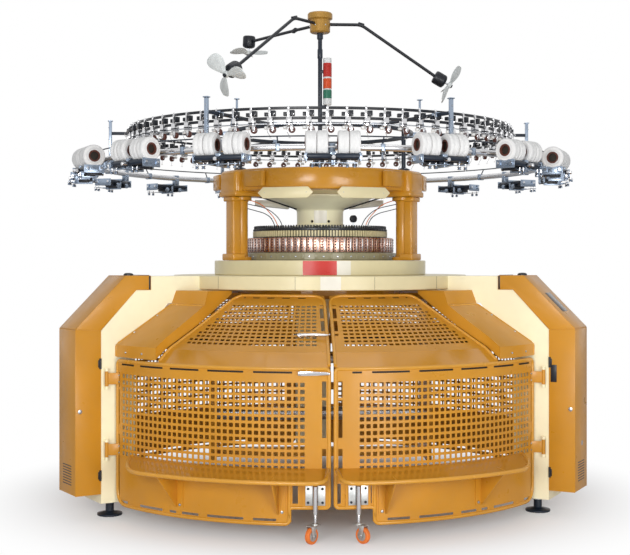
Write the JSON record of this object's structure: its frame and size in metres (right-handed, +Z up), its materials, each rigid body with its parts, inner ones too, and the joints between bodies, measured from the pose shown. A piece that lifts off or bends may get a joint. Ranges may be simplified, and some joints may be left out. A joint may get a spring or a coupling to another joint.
{
  "type": "circular knitting machine",
  "caption": "Circular knitting machine on three legs with curved perforated swing gates, a central knitting head and a ring creel with fans.",
  "frame": {"origin": "on the floor, below the vertical axis that the needle cylinder turns about", "axes": "+Z up along that axis, -Y towards the front where the two swing gates meet, +X to the right seen from the front"},
  "size_m": [3.444, 3.579, 3.247],
  "materials": {
    "cream_paint": "semi-gloss cream paint on cast iron and plate",
    "ochre_paint": "semi-gloss ochre paint on sheet steel",
    "ochre_casting": "gloss ochre paint on a casting",
    "black_paint": "satin black paint",
    "chrome": "polished chrome plate",
    "pink_steel": "ground cam blocks with a warm tint",
    "khaki_paint": "khaki painted dial blocks",
    "zinc_plate": "zinc plate",
    "orange_wheel": "cast orange polyurethane tread",
    "white_yarn": "wound white elastane yarn",
    "blade_grey": "moulded grey-white blades",
    "signal_light": "coloured lens stack",
    "blue_steel": "bright steel with a blue tint",
    "brass_paint": "brass-coloured enamel"
  },
  "bodies": {
    "machine": {"bed_plate": "cream_paint", "bed_ring": "cream_paint", "cabinet_left": "ochre_paint", "cabinet_rear": "ochre_paint", "cabinet_right": "ochre_paint", "cam_base": "black_paint", "cam_ring": "pink_steel", "corner_cover_left": "ochre_paint", "corner_cover_right": "ochre_paint", "creel_support": "blue_steel", "dial_column": "cream_paint", "dial_ring": "khaki_paint", "elastane_ring": "chrome", "fan_pole": "black_paint", "feeder_ring": "black_paint", "guard_left_frame": "ochre_paint", "guard_left_hood": "ochre_paint", "guard_left_screen": "ochre_paint", "guard_right_frame": "ochre_paint", "guard_right_hood": "ochre_paint", "guard_right_screen": "ochre_paint", "leg_left": "cream_paint", "leg_rear": "cream_paint", "leg_right": "cream_paint", "pillar_left": "ochre_casting", "pillar_rear": "ochre_casting", "pillar_right": "ochre_casting", "sign_left": "cream_paint", "sign_right": "cream_paint", "signal_light": "signal_light", "upper_frame": "ochre_casting", "yarn_packages_1": "white_yarn", "yarn_packages_2": "white_yarn", "yarn_packages_3": "white_yarn", "yarn_packages_4": "white_yarn", "yarn_packages_5": "white_yarn", "yarn_packages_6": "white_yarn", "yarn_packages_7": "white_yarn"},
    "gate_left": {"gate_left_frame": "ochre_paint", "gate_left_screen": "ochre_paint", "gate_left_hood": "ochre_paint", "caster_plate_left": "zinc_plate"},
    "gate_right": {"gate_right_frame": "ochre_paint", "gate_right_screen": "ochre_paint", "gate_right_hood": "ochre_paint", "caster_plate_right": "zinc_plate"},
    "caster_fork_left": {"caster_fork_left": "zinc_plate"},
    "caster_fork_right": {"caster_fork_right": "zinc_plate"},
    "caster_wheel_left": {"caster_wheel_left": "orange_wheel"},
    "caster_wheel_right": {"caster_wheel_right": "orange_wheel"},
    "latch_lower": {"latch_lower": "chrome"},
    "latch_upper": {"latch_upper": "chrome"},
    "fan_head": {"fan_head": "brass_paint"},
    "propeller_right": {"propeller_right": "blade_grey"},
    "propeller_front": {"propeller_front": "blade_grey"},
    "propeller_rear": {"propeller_rear": "blade_grey"},
    "take_down": {"take_down_frame": "ochre_paint", "take_down_rollers": "chrome", "batch_roller": "chrome"}
  },
  "joints": [
    {"name": "gate_left_swing", "type": "hinge", "parent": "machine", "child": "gate_left", "pos_m": [-1.3209, -0.93814, 0.6], "axis": [0, 0, -1], "range_deg": [0, 80]},
    {"name": "gate_right_swing", "type": "hinge", "parent": "machine", "child": "gate_right", "pos_m": [1.3209, -0.93814, 0.6], "axis": [0, 0, 1], "range_deg": [0, 80]},
    {"name": "caster_left_swivel", "type": "hinge", "parent": "gate_left", "child": "caster_fork_left", "pos_m": [-0.095, -1.57444, 0.13], "axis": [0, 0, 1], "continuous": true},
    {"name": "caster_left_roll", "type": "hinge", "parent": "caster_fork_left", "child": "caster_wheel_left", "pos_m": [-0.11618, -1.59842, 0.046], "axis": [0.7495, -0.662, 0], "continuous": true},
    {"name": "caster_right_swivel", "type": "hinge", "parent": "gate_right", "child": "caster_fork_right", "pos_m": [0.145, -1.57062, 0.13], "axis": [0, 0, 1], "continuous": true},
    {"name": "caster_right_roll", "type": "hinge", "parent": "caster_fork_right", "child": "caster_wheel_right", "pos_m": [0.16694, -1.59392, 0.046], "axis": [0.7281, 0.6855, 0], "continuous": true},
    {"name": "latch_lower_turn", "type": "hinge", "parent": "gate_left", "child": "latch_lower", "pos_m": [-0.17333, -1.55235, 0.935], "axis": [0.111, 0.9938, 0], "range_deg": [0, 60]},
    {"name": "latch_upper_turn", "type": "hinge", "parent": "gate_left", "child": "latch_upper", "pos_m": [-0.17245, -1.32371, 1.12007], "axis": [0.0644, 0.4946, -0.8667], "range_deg": [0, 60]},
    {"name": "fan_head_turn", "type": "hinge", "parent": "machine", "child": "fan_head", "pos_m": [0, 0, 3.11], "axis": [0, 0, 1], "continuous": true},
    {"name": "propeller_right_spin", "type": "hinge", "parent": "fan_head", "child": "propeller_right", "pos_m": [0.87655, 0, 2.76735], "axis": [0.866, 0, -0.5], "continuous": true},
    {"name": "propeller_front_spin", "type": "hinge", "parent": "fan_head", "child": "propeller_front", "pos_m": [-0.60843, -0.7251, 2.71735], "axis": [-0.5567, -0.6634, -0.5], "continuous": true},
    {"name": "propeller_rear_spin", "type": "hinge", "parent": "fan_head", "child": "propeller_rear", "pos_m": [-0.49691, 0.65943, 3.09995], "axis": [-0.0525, 0.0696, -0.9962], "continuous": true},
    {"name": "take_down_turn", "type": "hinge", "parent": "machine", "child": "take_down", "pos_m": [0, 0, 1], "axis": [0, 0, 1], "continuous": true}
  ]
}
